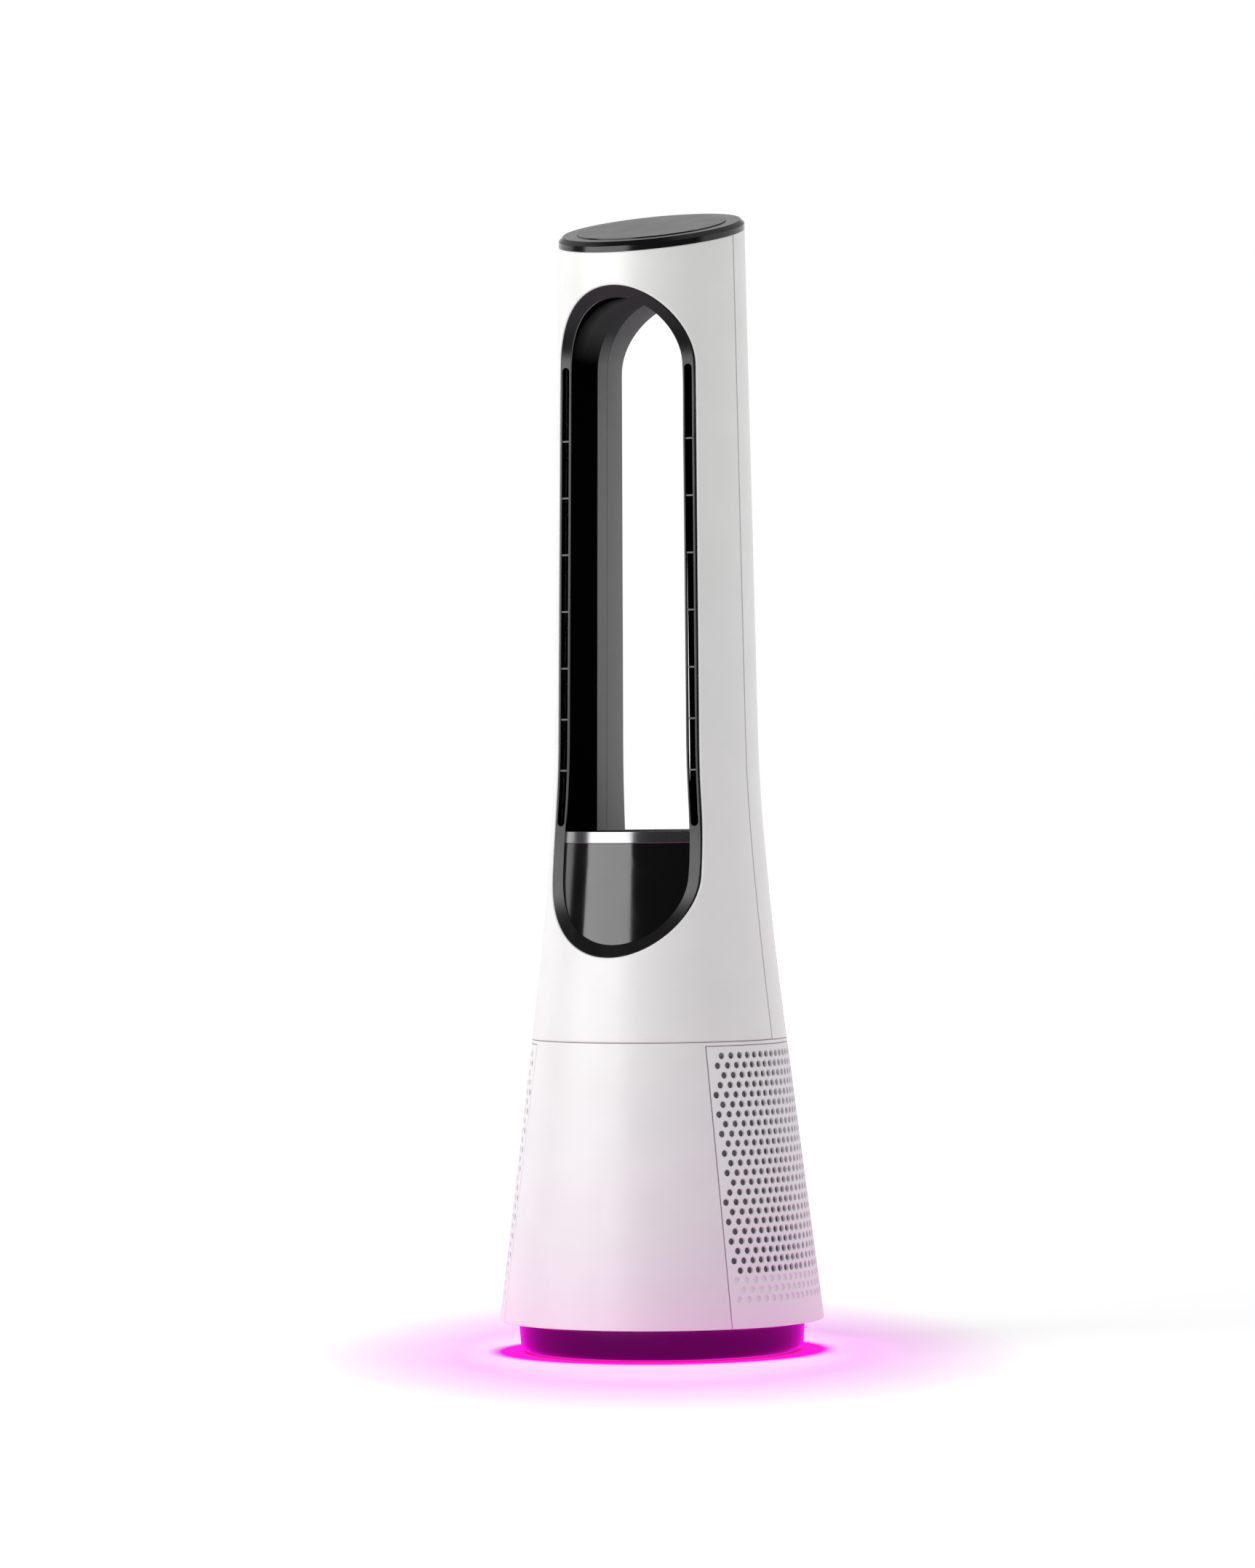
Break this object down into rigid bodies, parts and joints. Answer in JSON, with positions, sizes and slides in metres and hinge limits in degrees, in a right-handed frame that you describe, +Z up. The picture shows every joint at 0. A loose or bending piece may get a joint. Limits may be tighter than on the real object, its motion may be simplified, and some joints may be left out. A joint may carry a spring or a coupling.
{
  "type": "bladeless tower fan",
  "caption": "Round flared tower fan with a tall open air loop, slotted outlet ring, perforated rear intake, slanted touch top and a foot with a light ring.",
  "frame": {"origin": "on the fan's upright axis, at the floor under its rubber pads", "axes": "+Z up, the air outlet faces -Y, +X to the right seen from the front"},
  "size_m": [0.2316, 0.2316, 0.8162],
  "materials": {
    "white_shell": "satin white moulded plastic",
    "bezel_grey": "dark grey satin plastic",
    "rib_grey": "mid grey plastic",
    "gloss_black": "polished black plastic",
    "tunnel_grey": "satin dark grey plastic",
    "silver_trim": "silver grey painted plastic",
    "black_glass": "smoked touch panel",
    "foot_black": "gloss black plastic",
    "glow_magenta": "milky light diffuser",
    "inner_black": "black structural plastic",
    "inner_white": "natural structural plastic",
    "steel": "plated steel",
    "cast": "rough cast iron",
    "copper": "wound stator core",
    "rubber": "black rubber",
    "foam": "fibrous filter and foam",
    "board": "green circuit board"
  },
  "bodies": {
    "base": {"foot_shell": "foot_black", "base_plate": "steel", "ballast": "cast", "rubber_feet": "rubber", "base_screws": "steel", "power_inlet": "inner_black", "pivot_post": "steel", "post_screws": "steel", "glide_ring": "inner_white", "ring_gear": "inner_white", "pivot_nut": "steel"},
    "tower": {"turntable_floor": "inner_black", "light_ring": "glow_magenta", "led_ring_board": "board", "swing_motor": "steel", "motor_bracket": "steel", "lower_housing": "white_shell", "intake_cover": "white_shell", "intake_filter": "foam", "fan_stand": "inner_black", "bellmouth": "inner_black", "fan_casing": "inner_black", "diffuser": "inner_white", "motor_mounts": "rubber", "fan_motor": "steel", "motor_bearings": "steel", "motor_stator": "copper", "pod_cap": "inner_white", "duct_gasket": "foam", "duct_adaptor": "inner_black", "column_deck": "inner_white", "main_board": "board", "board_parts": "inner_black", "front_shell": "white_shell", "rear_shell": "white_shell", "bezel": "bezel_grey", "slot_ribs": "rib_grey", "tunnel_front": "gloss_black", "tunnel_rear": "tunnel_grey", "display_panel": "gloss_black", "sill_trim": "silver_trim", "display_board": "board", "air_guides": "inner_black", "crown_plate": "inner_white", "top_rim": "gloss_black", "touch_glass": "black_glass", "touch_board": "board"},
    "impeller": {"impeller": "inner_white", "motor_shaft": "steel", "motor_rotor": "cast", "impeller_nut": "steel"},
    "swing_pinion": {"swing_pinion": "inner_white", "swing_shaft": "steel"}
  },
  "joints": [
    {"name": "swing", "type": "hinge", "parent": "base", "child": "tower", "pos_m": [0, 0, 0.0315], "axis": [0, 0, 1], "range_deg": [-40, 40]},
    {"name": "impeller_spin", "type": "hinge", "parent": "tower", "child": "impeller", "pos_m": [0, 0, 0.16], "axis": [0, 0, 1], "continuous": true},
    {"name": "pinion_spin", "type": "hinge", "parent": "tower", "child": "swing_pinion", "pos_m": [-0.01337, -0.03674, 0.039], "axis": [0, 0, 1], "range_deg": [-133.4, 133.4]}
  ],
  "couplings": [
    {"joint": "pinion_spin", "follows": "swing", "ratio": 3.3333}
  ]
}
